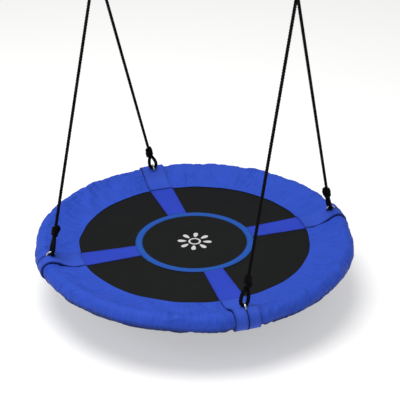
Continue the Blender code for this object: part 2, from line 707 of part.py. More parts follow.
def hook_meshes():
    """Body, gate and gate pin of a snap hook in the XZ plane about its middle, gate towards +X."""
    bow, bow_z, shoulder = hook_places()
    upper = [(bow, shoulder)] + circle(bow, BOW_STEPS, (0.0, bow_z), 0.0, 180.0, ends=True)
    lower = circle(bow, BOW_STEPS, (0.0, -bow_z), 180.0, 360.0, ends=True) + [(bow, -shoulder)]
    body = rod("hook", upper + lower, HOOK_ROD / 2)
    for direction in (-1, 1):
        body = boolean(body, tang(-direction * shoulder, direction, bow), "UNION")
    pin_z = -shoulder + PIN_FROM_SHOULDER
    hole = pin_cylinder(PIN_DIAMETER / 2 + PIN_CLEARANCE, HOOK_ROD, bow, pin_z)
    body = boolean(body, hole, "DIFFERENCE")
    low, high = -shoulder + GATE_FOOT_GAP, shoulder - GATE_GAP
    gate = rod("gate", [(bow, low), (bow, high)], HOOK_ROD / 2)
    half = TANG_THICKNESS / 2 + TANG_CLEARANCE
    depth = shoulder - TANG_LENGTH - TANG_END_GAP
    for start, end in ((low - CUTTER_PAST, -depth), (depth, high + CUTTER_PAST)):
        slot = box((bow - HOOK_ROD, -half, start), (bow + HOOK_ROD, half, end))
        gate = boolean(gate, slot, "DIFFERENCE")
    gate = boolean(gate, hole, "DIFFERENCE")
    pin = pin_cylinder(PIN_DIAMETER / 2, HOOK_ROD / 2 - PIN_CLEARANCE, bow, pin_z)
    return body, gate, pin


def make_hooks(hook_pivot, gate_pivots, steel):
    middle = CROWN_Z - (HOOK_LENGTH - HOOK_ROD) / 2
    body, gate, pin = hook_meshes()
    for side, sign in SIDES.items():
        frame = Matrix.Translation((sign * HALF_SPAN, 0, middle))
        if sign < 0:
            frame = frame @ Matrix.Rotation(pi, 4, "Z")
        add_object(f"snap_hook_{side}", body.copy(), steel, hook_pivot, frame)
        add_object(f"hook_gate_{side}", gate.copy(), steel, gate_pivots[side], frame)
        add_object(f"gate_pin_{side}", pin.copy(), steel, hook_pivot, frame)


def gate_pivot_place(side):
    bow, _, shoulder = hook_places()
    middle = CROWN_Z - (HOOK_LENGTH - HOOK_ROD) / 2
    sign = SIDES[side]
    return (sign * (HALF_SPAN + bow), 0, middle - shoulder + PIN_FROM_SHOULDER)


# ---- the whole swing ----

def main():
    for obj in list(bpy.data.objects):
        bpy.data.objects.remove(obj)

    blue = make_material("blue_fabric", (0.035, 0.075, 0.52), 0.62)
    hem_blue = make_material("blue_flap", (0.030, 0.065, 0.46), 0.65)
    trim_blue = make_material("hub_ring_blue", (0.020, 0.100, 0.40), 0.60)
    black = make_material("black_fabric", (0.016, 0.016, 0.015), 0.75)
    disc_black = make_material("hub_fabric", (0.020, 0.020, 0.019), 0.70)
    cord = make_material("black_rope", (0.008, 0.008, 0.008), 0.80)
    foam = make_material("grey_foam", (0.12, 0.12, 0.12), 0.90)
    tape = make_material("hook_and_loop", (0.012, 0.012, 0.012), 0.95)
    tube_steel = make_material("tube_steel", (0.55, 0.56, 0.58), 0.40, 1.0)
    zinc = make_material("zinc_steel", (0.70, 0.70, 0.72), 0.28, 1.0)

    hang = make_empty("hang_axis", (0, 0, 0))
    swing = make_empty("left_ring_pivot", (-HALF_SPAN, 0, FOOT_Z), hang)
    left = make_empty("left_rope_pivot", (-HALF_SPAN, 0, RING_FOOT_Z), swing)
    seat = make_empty("seat_pivot", (-HALF_SPAN, 0, EYE_BAR_Z), left)
    right = make_empty("right_rope_pivot", (HALF_SPAN, 0, EYE_BAR_Z), seat)
    right_ring = make_empty("right_ring_pivot", (HALF_SPAN, 0, RING_FOOT_Z), right)
    gates = {side: make_empty(f"gate_pivot_{side}", gate_pivot_place(side), hang) for side in SIDES}

    centre = Matrix.Translation((0, 0, MAT_Z))
    around = ["front_right", "back_right", "back_left", "front_left"]
    for corner, following in zip(around, around[1:] + around[:1]):
        make_frame_quarter(corner, following, seat, centre, tube_steel)
        make_foam(corner, seat, centre, foam)
        make_flap(corner, seat, centre, hem_blue)
        make_spoke(corner, seat, centre, blue)
    make_cover(seat, centre, blue)
    make_closure_band(seat, centre, tape)
    make_mat(seat, centre, black)
    make_hub(seat, centre, trim_blue, disc_black)
    make_eye_bolts(seat, centre, zinc)

    rope_pivots = {"left": left, "right": right}
    for corner in CORNERS:
        make_lower_rope(corner, rope_pivots[corner.split("_")[1]], cord)
    for side, pivot in rope_pivots.items():
        make_top_rope(side, pivot, cord)
    make_top_ring("left", swing, zinc)
    make_top_ring("right", right_ring, zinc)
    make_hooks(hang, gates, zinc)


main()
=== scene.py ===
"""Looks of the saucer swing: fabric, padding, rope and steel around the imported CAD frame."""

from math import cos, degrees, exp, pi, radians, sin, sqrt, tan

import bmesh
import bpy
import numpy as np
from mathutils import Matrix, Vector, noise


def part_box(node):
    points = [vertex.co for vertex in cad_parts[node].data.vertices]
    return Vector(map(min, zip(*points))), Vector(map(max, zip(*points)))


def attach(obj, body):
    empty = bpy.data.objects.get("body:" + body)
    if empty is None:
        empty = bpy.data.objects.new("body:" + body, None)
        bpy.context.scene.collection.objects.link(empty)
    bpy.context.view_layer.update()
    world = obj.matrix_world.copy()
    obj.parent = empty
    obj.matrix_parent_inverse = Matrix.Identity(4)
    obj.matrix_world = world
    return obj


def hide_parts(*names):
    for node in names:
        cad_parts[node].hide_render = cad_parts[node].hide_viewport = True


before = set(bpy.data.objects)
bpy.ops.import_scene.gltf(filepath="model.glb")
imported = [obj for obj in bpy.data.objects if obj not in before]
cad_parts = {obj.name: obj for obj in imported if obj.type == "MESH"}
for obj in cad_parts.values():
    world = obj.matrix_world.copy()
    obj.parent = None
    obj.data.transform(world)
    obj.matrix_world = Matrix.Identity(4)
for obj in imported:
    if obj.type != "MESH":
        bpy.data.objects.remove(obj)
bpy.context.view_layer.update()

# ---- sizes shared with the CAD, in metres ----
MAT_RADIUS = 0.364
MAT_SEAM = 0.012
RIM_RADIUS = 0.474
COVER_RADIUS = 0.026
COVER_THICKNESS = 0.0012
TUBE_ABOVE_MAT = 0.002
TUBE_RADIUS = 0.0125
SKIRT_ANGLE = 110.0
CLOSURE_RADIUS = RIM_RADIUS - COVER_RADIUS - 0.005
BAND_WIDTH = 0.020
HUB_RING_RADIUS = 0.1875
HUB_RING_WIDTH = 0.0225
SPOKE_AT_HUB = 0.064
SPOKE_AT_RIM = 0.080
FLAP_WIDTH = 0.078
EYE_TILT = 20.0
EYE_RADIUS = 0.013
EYE_ROD = 0.006
COLLAR_HEIGHT = 0.00405
EYE_CENTRE = TUBE_RADIUS + 0.0003 + COLLAR_HEIGHT + EYE_RADIUS + EYE_ROD / 2 - 0.001
EYE_BAR = EYE_CENTRE + EYE_RADIUS
HALF_SPAN = (RIM_RADIUS - sin(radians(EYE_TILT)) * EYE_BAR) / sqrt(2)
ROPE_DIAMETER = 0.0085
RING_ROD = 0.008
RING_RADIUS = 0.020
FOOT_Z = -0.068              # foot of a snap hook's lower bow
RING_Z = FOOT_Z + 0.0083 - RING_RADIUS
RING_FOOT_Z = RING_Z - RING_RADIUS
KNOT_Z = RING_FOOT_Z + 0.00925 - 0.060
HOOK_ROD = 0.008
HOOK_CENTRE_Z = -0.032
HOOK_BOW = 0.016             # radius of the hook's two bows
HOOK_BOW_Z = 0.020           # their centres above and below the hook's middle
HOOK_SHOULDER = 0.018        # where the open side ends
LOOP_LENGTH = 0.054
LOOP_WIDTH = 0.0225
KNOT_HEIGHT = 0.040

MAT_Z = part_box("seat_mat")[1].z
EYE_BAR_Z = MAT_Z + TUBE_ABOVE_MAT + cos(radians(EYE_TILT)) * EYE_BAR

CORNERS = {"front_left": 225.0, "back_left": 135.0, "front_right": 315.0, "back_right": 45.0}
SIDES = {"left": -1, "right": 1}

# ---- view, fitted to the photograph ----
AZIMUTH = 27.2012            # degrees around from the front
ELEVATION = 30.0999
ROLL = -0.26554
DISTANCE = 4.33221
AIM_RIGHT = 0.00412          # how far it looks past the mat's centre, per metre of distance
AIM_UP = 0.02978
LENS = 123.08                # mm, on a sensor 36 mm wide

# ---- looks ----
SAG = 0.003                  # how far the mat hangs at the hub
PATCH_LIFT = 0.0013          # top of the patches sewn on the mat
CLOTH = 0.0012               # thickness of flaps and spokes
FLOOR_DROP = 0.17            # floor below the mat
LAY = 0.026                  # length of one turn of the rope's strands
STRANDS = 3
STRAND_SIDES = 8
ROPE_STEP = 0.0021           # spacing of the rope's rings along it
RING_STEPS = 192             # points around the hub's pieces and the tape
SMOOTH_BELOW = 38.0          # steel edges above this many degrees stay sharp

COVER_COLUMNS = 480          # around the rim
SKIRT_ROWS = 26              # from the mat's edge to where the skirt meets the tube
ARC_ROWS = 44                # around the tube
TAIL_ROWS = 5                # the hem under the closure tape
COVER_END_ANGLE = -178.0     # where the cover leaves the tube again
TAIL_DROP = 0.0085           # hem and tape below the skirt
TAPE_DROP = 0.0050
TAPE_THICKNESS = 0.0014
SEAM_ANGLE = 45.0            # the cover is closed under the back right flap
FLAP_EASE = 0.018            # the cover comes out from under a flap over this width
FOAM_FROM = 0.085            # where the foam begins, along the cover
LEAST_OVER_FOAM = -0.0008    # how far the cover may sink
LEAST_ON_SKIRT = -0.0044
CLOTH_FRAMES = 20


# ---- camera ----

def placed(name, data):
    obj = bpy.data.objects.new(name, data)
    bpy.context.scene.collection.objects.link(obj)
    return obj


def right_and_up(forward):
    right = forward.cross(Vector((0, 0, 1))).normalized()
    return right, right.cross(forward)


def make_camera():
    azimuth, elevation, roll = radians(AZIMUTH), radians(ELEVATION), radians(ROLL)
    back = Vector((sin(azimuth) * cos(elevation), -cos(azimuth) * cos(elevation), sin(elevation)))
    right, up = right_and_up(-back)
    forward = (-back + right * AIM_RIGHT + up * AIM_UP).normalized()
    right, up = right_and_up(forward)
    side = right * cos(roll) + up * sin(roll)
    top = up * cos(roll) - right * sin(roll)
    data = bpy.data.cameras.new("camera")
    data.lens = LENS
    data.sensor_width = 36.0
    data.clip_end = 200.0
    camera = placed("camera", data)
    turn = Matrix((side, top, -forward)).transposed().to_4x4()
    camera.matrix_world = Matrix.Translation(Vector((0, 0, MAT_Z)) + DISTANCE * back) @ turn
    bpy.context.scene.camera = camera


# ---- materials ----

def set_inputs(node, **values):
    for name, value in values.items():
        node.inputs[name.replace("_", " ")].default_value = value


class Nodes:
    """A small helper that adds and links the nodes of one material."""

    def __init__(self, name, colour, roughness, metallic=0.0):
        self.material = bpy.data.materials.new(name)
        self.material.use_nodes = True
        self.tree = self.material.node_tree
        self.shader = self.tree.nodes["Principled BSDF"]
        set_inputs(self.shader, Base_Color=(*colour, 1.0), Roughness=roughness, Metallic=metallic)

    def add(self, kind, **inputs):
        node = self.tree.nodes.new(kind)
        set_inputs(node, **inputs)
        return node

    def link(self, source, target):
        self.tree.links.new(source, target)

    def math(self, operation, a, b=None):
        node = self.tree.nodes.new("ShaderNodeMath")
        node.operation = operation
        for slot, value in zip(node.inputs, (a, b)):
            if value is None:
                continue
            if isinstance(value, (int, float)):
                slot.default_value = value
            else:
                self.link(value, slot)
        return node.outputs[0]

    def times(self, a, b):
        return self.math("MULTIPLY", a, b)

    def step(self, value, low, high):
        """0 at low, 1 at high and straight between them."""
        node = self.add("ShaderNodeMapRange", From_Min=low, From_Max=high)
        self.link(value, node.inputs["Value"])
        return node.outputs["Result"]

    def coordinates(self, name=None):
        if name:
            node = self.add("ShaderNodeUVMap")
            node.uv_map = name
            return node.outputs["UV"]
        return self.add("ShaderNodeTexCoord").outputs["Object"]

    def noise(self, where, scale, detail=3.0, stretch=None):
        if stretch:
            mapping = self.add("ShaderNodeMapping", Scale=stretch)
            self.link(where, mapping.inputs["Vector"])
            where = mapping.outputs["Vector"]
        node = self.add("ShaderNodeTexNoise", Scale=scale, Detail=detail)
        self.link(where, node.inputs["Vector"])
        return node.outputs["Fac"]

    def ramp(self, factor, stops):
        node = self.add("ShaderNodeValToRGB")
        elements = node.color_ramp.elements
        while len(elements) < len(stops):
            elements.new(0.5)
        for element, (place, colour) in zip(elements, stops):
            element.position = place
            element.color = (*colour, 1.0)
        self.link(factor, node.inputs["Fac"])
        return node.outputs["Color"]

    def mottled(self, factor, colour, mottle):
        """A ramp from a little darker to a little lighter than the colour."""
        return self.ramp(factor, [(0.30, tinted(colour, 1 - mottle)), (0.70, tinted(colour, 1 + mottle))])

    def mixed(self, base, factor, colour, blend="MIX"):
        """The base with a plain colour mixed in by a factor."""
        node = self.add("ShaderNodeMixRGB", Color2=(*colour, 1.0))
        node.blend_type = blend
        self.link(factor, node.inputs["Fac"])
        self.link(base, node.inputs["Color1"])
        return node.outputs["Color"]

    def split(self, where):
        node = self.add("ShaderNodeSeparateXYZ")
        self.link(where, node.inputs[0])
        return node.outputs

    def bump(self, heights):
        """Chain of (height socket, distance, strength)."""
        last = None
        for height, distance, strength in heights:
            node = self.add("ShaderNodeBump", Distance=distance, Strength=strength)
            self.link(height, node.inputs["Height"])
            if last:
                self.link(last, node.inputs["Normal"])
            last = node.outputs["Normal"]
        self.link(last, self.shader.inputs["Normal"])


def weave(n, where, pitch):
    """Height of a plain weave: threads over and under each other at a pitch in metres."""
    parts = n.split(where)
    waves = [n.math("SINE", n.times(parts[axis], 2 * pi / pitch)) for axis in ("X", "Y")]
    return n.times(*waves)


def tinted(colour, factor):
    return tuple(min(1.0, c * factor) for c in colour)


def fabric(name, colour, roughness, pitch, strength, mottle, coordinates="weave",
           stitch=None, edge=None, specular=0.15, gathers=None):
    """Woven cloth, with its threads a pitch apart; strength is that of the weave's bump.

    stitch places a line of stitches and edge ends the darker hem, measured by the map "edge" from the edge.
    That hem is partly a dark binding and partly painted shade beside the raised edge.
    gathers says where the small creases, with painted shade along them, and the painted shade of the underside
    start along the map "weave"."""
    n = Nodes(name, colour, roughness)
    set_inputs(n.shader, Specular_IOR_Level=specular)
    where = n.coordinates(coordinates)
    shade = n.noise(n.coordinates(), 22.0, 4.0)
    fine = n.noise(n.coordinates(), 900.0, 2.0)
    spots = n.math("ADD", n.times(shade, 0.7), n.times(fine, 0.3))
    base = n.mottled(spots, colour, mottle)
    heights = [(weave(n, where, pitch), 0.0003, strength), (fine, 0.0003, 0.25)]
    if gathers:
        start, under = gathers
        along = n.split(where)["Y"]
        creases = n.noise(where, 1.0, 3.0, (75.0, 16.0, 1.0))
        soft = n.noise(where, 1.0, 2.0, (22.0, 12.0, 1.0))
        held = n.step(along, start, start + 0.035)
        creases = n.times(creases, n.math("ADD", n.times(held, 0.8), 0.2))
        heights += [(creases, 0.0065, 0.9), (soft, 0.0080, 0.7)]
        # Painted shade: thin dark lines, in patches, darken the colour along the creases where shade would
        # fall.
        folds = n.noise(where, 1.0, 1.0, (34.0, 9.0, 1.0))
        crease_shade = n.step(n.math("ABSOLUTE", n.math("SUBTRACT", folds, 0.5)), 0.030, 0.0)
        patch = n.step(n.noise(where, 1.0, 1.0, (7.0, 13.0, 1.0)), 0.46, 0.62)
        base = n.mixed(base, n.times(crease_shade, patch), (0.70, 0.75, 0.82), "MULTIPLY")
        # Painted shade on the underside: the colour turns far darker from this length along the cover on.
        base = n.mixed(base, n.step(along, under, under + 0.016), tinted(colour, 0.22))
    if stitch or edge:
        from_edge = n.split(n.coordinates("edge"))
    # Dark hem along each edge: partly a darker binding, partly painted shade beside the raised edge.
    if edge:
        base = n.mixed(base, n.step(from_edge["X"], edge, 0.0), tinted(colour, 0.30))
    if stitch:
        from_line = n.math("ABSOLUTE", n.math("SUBTRACT", from_edge["X"], stitch))
        on_line = n.math("LESS_THAN", from_line, 0.0006)
        step = n.math("LESS_THAN", n.math("FRACT", n.math("DIVIDE", from_edge["Y"], 0.0042)), 0.68)
        thread = n.times(on_line, step)
        base = n.mixed(base, thread, tinted(colour, 0.35))
        heights.append((thread, 0.0004, 0.6))
    n.link(base, n.shader.inputs["Base Color"])
    n.bump(heights)
    return n.material


def steel(name, colour, roughness):
    """Zinc or bare steel: blotches in its gloss and a fine grain."""
    n = Nodes(name, colour, roughness, 1.0)
    where = n.coordinates()
    spots = n.noise(where, 140.0, 4.0)
    rough = n.add("ShaderNodeMapRange", To_Min=roughness * 0.7, To_Max=roughness * 1.4)
    n.link(spots, rough.inputs["Value"])
    n.link(rough.outputs["Result"], n.shader.inputs["Roughness"])
    n.bump([(n.noise(where, 700.0, 3.0), 0.0002, 0.25)])
    return n.material


def rope_material(name, colour):
    """Black polyester rope: fine yarns along each strand, map "yarn" runs around and along."""
    n = Nodes(name, colour, 0.58)
    set_inputs(n.shader, Specular_IOR_Level=0.07, Sheen_Weight=0.01)
    parts = n.split(n.coordinates("yarn"))
    turns = n.math("ADD", n.times(parts["X"], 9.0), n.times(parts["Y"], 260.0))
    yarn = n.math("SINE", n.times(turns, 2 * pi))
    fuzz = n.noise(n.coordinates(), 1500.0, 2.0)
    spots = n.noise(n.coordinates(), 420.0, 2.0)
    base = n.ramp(spots, [(0.42, tinted(colour, 0.7)), (0.70, tinted(colour, 2.2))])
    n.link(base, n.shader.inputs["Base Color"])
    n.bump([(yarn, 0.0003, 0.5), (fuzz, 0.0003, 0.4)])
    return n.material


def plain(name, colour, roughness, scale, strength, mottle):
    """Foam or tape: spots of one size in colour and height."""
    n = Nodes(name, colour, roughness)
    spots = n.noise(n.coordinates(), scale, 4.0)
    n.link(n.mottled(spots, colour, mottle), n.shader.inputs["Base Color"])
    n.bump([(spots, 0.0005, strength)])
    return n.material


BLUE = (0.028, 0.077, 0.500)
# The cover's colour has painted shade in its creases and on its underside from 0.156 m along it; the dark hems
# of flaps, spokes and hub ring are partly painted shade.
M = {
    "cover": fabric("cover_blue", BLUE, 0.55, 0.0016, 0.30, 0.07, specular=0.08, gathers=(0.075, 0.156)),
    "flap": fabric("flap_blue", BLUE, 0.57, 0.0016, 0.30, 0.07, stitch=0.0055, edge=0.0030),
    "spoke": fabric("spoke_blue", (0.020, 0.050, 0.460), 0.57, 0.0016, 0.30, 0.07, stitch=0.0040, edge=0.0022),
    "hub_ring": fabric("hub_ring_blue", (0.012, 0.082, 0.390), 0.55, 0.0020, 0.40, 0.06,
                       stitch=0.0028, edge=0.0014),
    "mat": fabric("mat_black", (0.0075, 0.0078, 0.0076), 0.72, 0.0013, 0.45, 0.12, specular=0.1),
    "hub": fabric("hub_black", (0.0070, 0.0076, 0.0070), 0.66, 0.0010, 0.35, 0.10, specular=0.1),
    "mark": fabric("hub_mark_thread", (0.62, 0.62, 0.62), 0.60, 0.0008, 0.50, 0.05, coordinates=None),
    "rope": rope_material("rope_black", (0.0012, 0.0012, 0.0012)),
    "zinc": steel("zinc", (0.50, 0.50, 0.52), 0.24),
    "tube": steel("tube_steel", (0.50, 0.51, 0.53), 0.36),
    "tape": plain("tape_black", (0.012, 0.012, 0.012), 0.95, 1600.0, 0.9, 0.4),
    "foam": plain("foam_grey", (0.11, 0.11, 0.12), 0.92, 500.0, 0.6, 0.2),
}


# ---- helpers ----

def make_object(name, vertices, faces, material, smooth=True, maps=None):
    """maps: name -> one (u, v) for each vertex, copied to the corners."""
    mesh = bpy.data.meshes.new(name)
    mesh.from_pydata([tuple(v) for v in vertices], [], faces)
    if smooth:
        mesh.shade_smooth()
    for key, values in (maps or {}).items():
        layer = mesh.uv_layers.new(name=key)
        corner = np.zeros(len(mesh.loops), np.int32)
        mesh.loops.foreach_get("vertex_index", corner)
        layer.data.foreach_set("uv", np.array(values, np.float32)[corner].ravel())
    mesh.materials.append(material)
    return placed(name, mesh)


def grid_faces(rows, columns, wrap_rows=False, wrap_columns=False, start=0, flip=False):
    faces = []
    for i in range(rows if wrap_rows else rows - 1):
        for j in range(columns if wrap_columns else columns - 1):
            low, high, after = start + i * columns, start + (i + 1) % rows * columns, (j + 1) % columns
            face = (low + j, low + after, high + after, high + j)
            faces.append(face[::-1] if flip else face)
    return faces


def end_caps(rows, columns, start=0):
    """The two end faces of a tube made of rings."""
    return [tuple(start + j for j in range(columns))[::-1],
            tuple(start + (rows - 1) * columns + j for j in range(columns))]


def clamp(value):
    return max(0.0, min(1.0, value))


def smooth(low, high, value):
    """0 below low, 1 above high, with a soft start and end between them."""
    t = clamp((value - low) / (high - low))
    return t * t * (3 - 2 * t)


def circle(radius, count, x=0.0, y=0.0):
    """(x, y) points evenly around a circle."""
    turns = [2 * pi * k / count for k in range(count)]
    return [(x + radius * cos(a), y + radius * sin(a)) for a in turns]


def seat_point(angle, r, z):
    """A point of the seat: degrees around, metres from its axis and above the mat."""
    t = radians(angle)
    return Vector((r * cos(t), r * sin(t), MAT_Z + z))


def finish_piece(obj, body, slot, *nodes):
    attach(obj, body)
    if nodes:
        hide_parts(*nodes)


def sharpen(obj):
    """Smooth shading that keeps a steel piece's edges."""
    obj.data.set_sharp_from_angle(angle=radians(SMOOTH_BELOW))


def thicken(obj, thickness):
    """Thickness for a sheet, downwards or inwards from the surface that was made."""
    modifier = obj.modifiers.new("thickness", "SOLIDIFY")
    modifier.thickness = thickness
    modifier.offset = -1


def join_pieces(name, objects):
    for obj in bpy.context.selected_objects:
        obj.select_set(False)
    for obj in objects:
        obj.select_set(True)
    bpy.context.view_layer.objects.active = objects[0]
    bpy.ops.object.join()
    objects[0].name = name
    return objects[0]


def catmull(points, per_span=16):
    """A smooth line through the points."""
    knots = [Vector(p) for p in points]
    padded = [2 * knots[0] - knots[1]] + knots + [2 * knots[-1] - knots[-2]]
    fine = []
    for a, b, c, d in zip(padded, padded[1:], padded[2:], padded[3:]):
        for step in range(per_span):
            t = step / per_span
            fine.append(0.5 * (2 * b + (c - a) * t + (2 * a - 5 * b + 4 * c - d) * t ** 2
                               + (3 * b - a - 3 * c + d) * t ** 3))
    return fine + [knots[-1]]


def path_length(points):
    """The way along a line to each of its points."""
    return np.concatenate([[0.0], np.cumsum(np.linalg.norm(np.diff(points, axis=0), axis=1))])


def spaced(points, step):
    """The same line with points at an even spacing, and its length."""
    line = np.array([tuple(p) for p in points])
    along = path_length(line)
    count = max(2, int(round(along[-1] / step)) + 1)
    goals = np.linspace(0.0, along[-1], count)
    return np.stack([np.interp(goals, along, line[:, k]) for k in range(3)], axis=1), float(along[-1])


def line_frames(line):
    """Normal and binormal at each point, carried along without twist."""
    tangents = np.gradient(line, axis=0)
    tangents /= np.linalg.norm(tangents, axis=1)[:, None]
    first = np.array([1.0, 0.0, 0.0]) if abs(tangents[0][0]) < 0.8 else np.array([0.0, 1.0, 0.0])
    normal = first - tangents[0] * first.dot(tangents[0])
    normals = [normal / np.linalg.norm(normal)]
    for t in tangents[1:]:
        normal = normals[-1] - t * normals[-1].dot(t)
        normals.append(normal / np.linalg.norm(normal))
    normals = np.array(normals)
    return normals, np.cross(tangents, normals)


def twisted(name, points, diameter=ROPE_DIAMETER, phase=0.0, loose=0.0):
    """A laid rope along a line: each strand is a round tube that winds around the line.

    The last stretch, loose metres long, is a loop: it opens up a little and is pressed thin in its bend."""
    line, length = spaced(points, ROPE_STEP)
    normals, binormals = line_frames(line)
    count, sides = len(line), STRAND_SIDES
    along = np.linspace(0.0, length, count)
    opened = np.ones(count)
    if loose:
        opened += 0.15 * np.clip((along - length + loose) / 0.010, 0.0, 1.0)
        opened -= 0.30 * np.exp(-((along - length + loose / 2) / 0.010) ** 2)
    strand_radius, offset = diameter * 0.298 * opened, (diameter * 0.326 * opened)[:, None]
    vertices, faces, maps = [], [], []
    for k in range(STRANDS):
        turn = 2 * pi * (along / LAY + k / STRANDS + phase)
        centre = line + offset * (np.cos(turn)[:, None] * normals + np.sin(turn)[:, None] * binormals)
        cross_a, cross_b = line_frames(centre)
        start = len(vertices)
        for i in range(count):
            end_share = 0.75 if i in (0, count - 1) else 1.0
            for j in range(sides):
                a = 2 * pi * j / sides
                ring = strand_radius[i] * end_share * (cos(a) * cross_a[i] + sin(a) * cross_b[i])
                vertices.append(centre[i] + ring)
                maps.append((j / sides, along[i]))
        faces += grid_faces(count, sides, wrap_columns=True, start=start)
        faces += end_caps(count, sides, start)
    obj = make_object(name, vertices, faces, M["rope"], maps={"yarn": maps})
    return obj, line, length


def round_rod(name, points, radius, sides, closed=False, step=None):
    """A round steel rod along a line, with flat ends, or a closed ring."""
    line = np.array([tuple(p) for p in points])
    if step:
        line, _ = spaced(points, step)
    if closed:
        tangents = np.roll(line, -1, axis=0) - np.roll(line, 1, axis=0)
        tangents /= np.linalg.norm(tangents, axis=1)[:, None]
        flat = np.cross(line[0] - line.mean(0), tangents[0])
        flat /= np.linalg.norm(flat)
        normals = np.tile(flat, (len(line), 1))
        binormals = np.cross(tangents, normals)
    else:
        normals, binormals = line_frames(line)
    vertices = []
    for i in range(len(line)):
        for j in range(sides):
            a = 2 * pi * j / sides
            vertices.append(line[i] + radius * (cos(a) * normals[i] + sin(a) * binormals[i]))
    faces = grid_faces(len(line), sides, wrap_rows=closed, wrap_columns=True)
    if not closed:
        faces += end_caps(len(line), sides)
    return make_object(name, vertices, faces, M["zinc"])


def turned(name, outline, matrix, sides=32):
    """A steel piece: an (r, z) outline turned about local Z."""
    vertices, faces, rows = [], [], []
    for r, z in outline:
        if r == 0:
            rows.append([len(vertices)] * sides)
            vertices.append((0, 0, z))
        else:
            rows.append(list(range(len(vertices), len(vertices) + sides)))
            vertices += [(x, y, z) for x, y in circle(r, sides)]
    for low, high in zip(rows, rows[1:]):
        for k in range(sides):
            ring = [low[k], low[(k + 1) % sides], high[(k + 1) % sides], high[k]]
            faces.append(tuple(dict.fromkeys(ring)))
    obj = make_object(name, vertices, faces, M["zinc"])
    obj.data.transform(matrix)
    sharpen(obj)
    return obj


# ---- ropes ----

def loop_line(bottom, across, along, length, width):
    """Down one leg, around the steel and up the other; the legs meet at the knot."""
    apart = ROPE_DIAMETER * 0.42
    half = width / 2
    leg = [(apart, length), (apart * 1.15, length * 0.88), (half * 0.82, length * 0.60),
           (half, length * 0.34), (half * 0.84, length * 0.12)]
    route = leg + [(half * 0.42, length * 0.012), (0.0, -0.0006), (-half * 0.42, length * 0.012)]
    route += [(-a, b) for a, b in leg[::-1]]
    return catmull([bottom + across * a + along * b for a, b in route])


def knot_line(centre, along, sideways, radius, height, turns, lean, phase):
    """A cord wound around a knot, egg shaped with the wide end up, each turn leaning."""
    other = along.cross(sideways).normalized()
    points = []
    steps = int(turns * 18)
    for i in range(steps + 1):
        t = i / steps
        a = 2 * pi * (turns * t + phase)
        bulge = 0.80 + 0.20 * sin(pi * (0.12 + 0.62 * t))
        rise = (t - 0.5) * height + lean * cos(a)
        points.append(centre + along * rise + radius * bulge * (sideways * cos(a) + other * sin(a)))
    return points


def make_ropes():
    for corner in CORNERS:
        sx = 1 if "right" in corner else -1
        sy = 1 if "back" in corner else -1
        bar = Vector((sx * HALF_SPAN, sy * HALF_SPAN, EYE_BAR_Z))
        top = Vector((sx * HALF_SPAN, 0.0, KNOT_Z))
        along = (top - bar).normalized()
        bottom = bar - along * ((EYE_ROD + ROPE_DIAMETER) / 2 - 0.0002)
        tangent = Vector((-sy, sx, 0.0)).normalized()
        across = (tangent - tangent.dot(along) * along).normalized()
        body = "right_ropes" if sx > 0 else "left_ropes"
        loop = loop_line(bottom, across, along, LOOP_LENGTH + 0.004, LOOP_WIDTH)
        knot_centre = bottom + along * (LOOP_LENGTH + 0.001 + KNOT_HEIGHT / 2)
        above = knot_centre + along * (KNOT_HEIGHT / 2)
        route = [top - along * 0.012, above, knot_centre + along * 0.006] + loop
        cord, line, length = twisted(f"cord_{corner}", route, loose=spaced(loop, 0.002)[1])
        side = across if sx * sy > 0 else -across
        turns = knot_line(knot_centre, along, side, radius=0.0080, height=0.0295, turns=3.4, lean=0.0030,
                          phase=0.15)
        winding, _, _ = twisted(f"knot_turns_{corner}", catmull(turns, 2), ROPE_DIAMETER * 0.92, phase=0.3)
        other = along.cross(side).normalized()
        cross = []
        for i in range(13):
            t = i / 12
            a = 2 * pi * (0.10 + 0.42 * t)
            reach = 0.0082 + 0.0036 * sin(pi * t)
            rise = 0.0175 - 0.036 * t
            cross.append(knot_centre + along * rise + reach * (side * cos(a) + other * sin(a)))
        crossing, _, _ = twisted(f"knot_cross_{corner}", catmull(cross, 4), ROPE_DIAMETER * 0.92, phase=0.6)
        knot = join_pieces(f"knot_{corner}", [winding, crossing])
        finish_piece(cord, body, "black_rope", f"rope_{corner}", f"rope_loop_{corner}")
        finish_piece(knot, body, "black_rope", f"rope_knot_{corner}")


def make_top_knots():
    """The knot where a pair of ropes meets, a ball of turns in turning planes, and the loop above it."""
    for side, sign in SIDES.items():
        x, body = sign * HALF_SPAN, f"{side}_ropes"
        centre = Vector((x, 0.0, KNOT_Z))
        high = Vector((x, 0.0, RING_FOOT_Z + (RING_ROD + ROPE_DIAMETER) / 2))
        loop = loop_line(high, Vector((1, 0, 0)), Vector((0, 0, -1)), 0.046, 0.027)
        route = [centre + Vector((0.002, 0, 0.004))] + loop + [centre + Vector((-0.002, 0, 0.004))]
        cord, line, length = twisted(f"cord_top_{side}", route)
        turns, winds = [], 6
        for i in range(winds * 18 + 1):
            t = i / (winds * 18)
            a = 2 * pi * winds * t
            plane = radians(20 + 200 * t)
            u = Vector((cos(plane), sin(plane), 0.35 * sin(3 * plane))).normalized()
            v = Vector((0, 0, 1)) - u * u.z
            v.normalize()
            turns.append(centre + 0.0142 * (u * cos(a) + v * sin(a)))
        knot, _, _ = twisted(f"knot_top_{side}", turns, ROPE_DIAMETER, phase=0.2)
        finish_piece(cord, body, "black_rope", f"top_loop_{side}")
        finish_piece(knot, body, "black_rope", f"top_knot_{side}")


# ---- steel ----

def eye_matrix(angle):
    """Frame of an eye bolt: origin in the rim tube, Z along the bolt, X outwards."""
    turn = Matrix.Rotation(radians(angle), 4, "Z") @ Matrix.Rotation(radians(-EYE_TILT), 4, "Y")
    return Matrix.Translation(seat_point(angle, RIM_RADIUS, TUBE_ABOVE_MAT)) @ turn


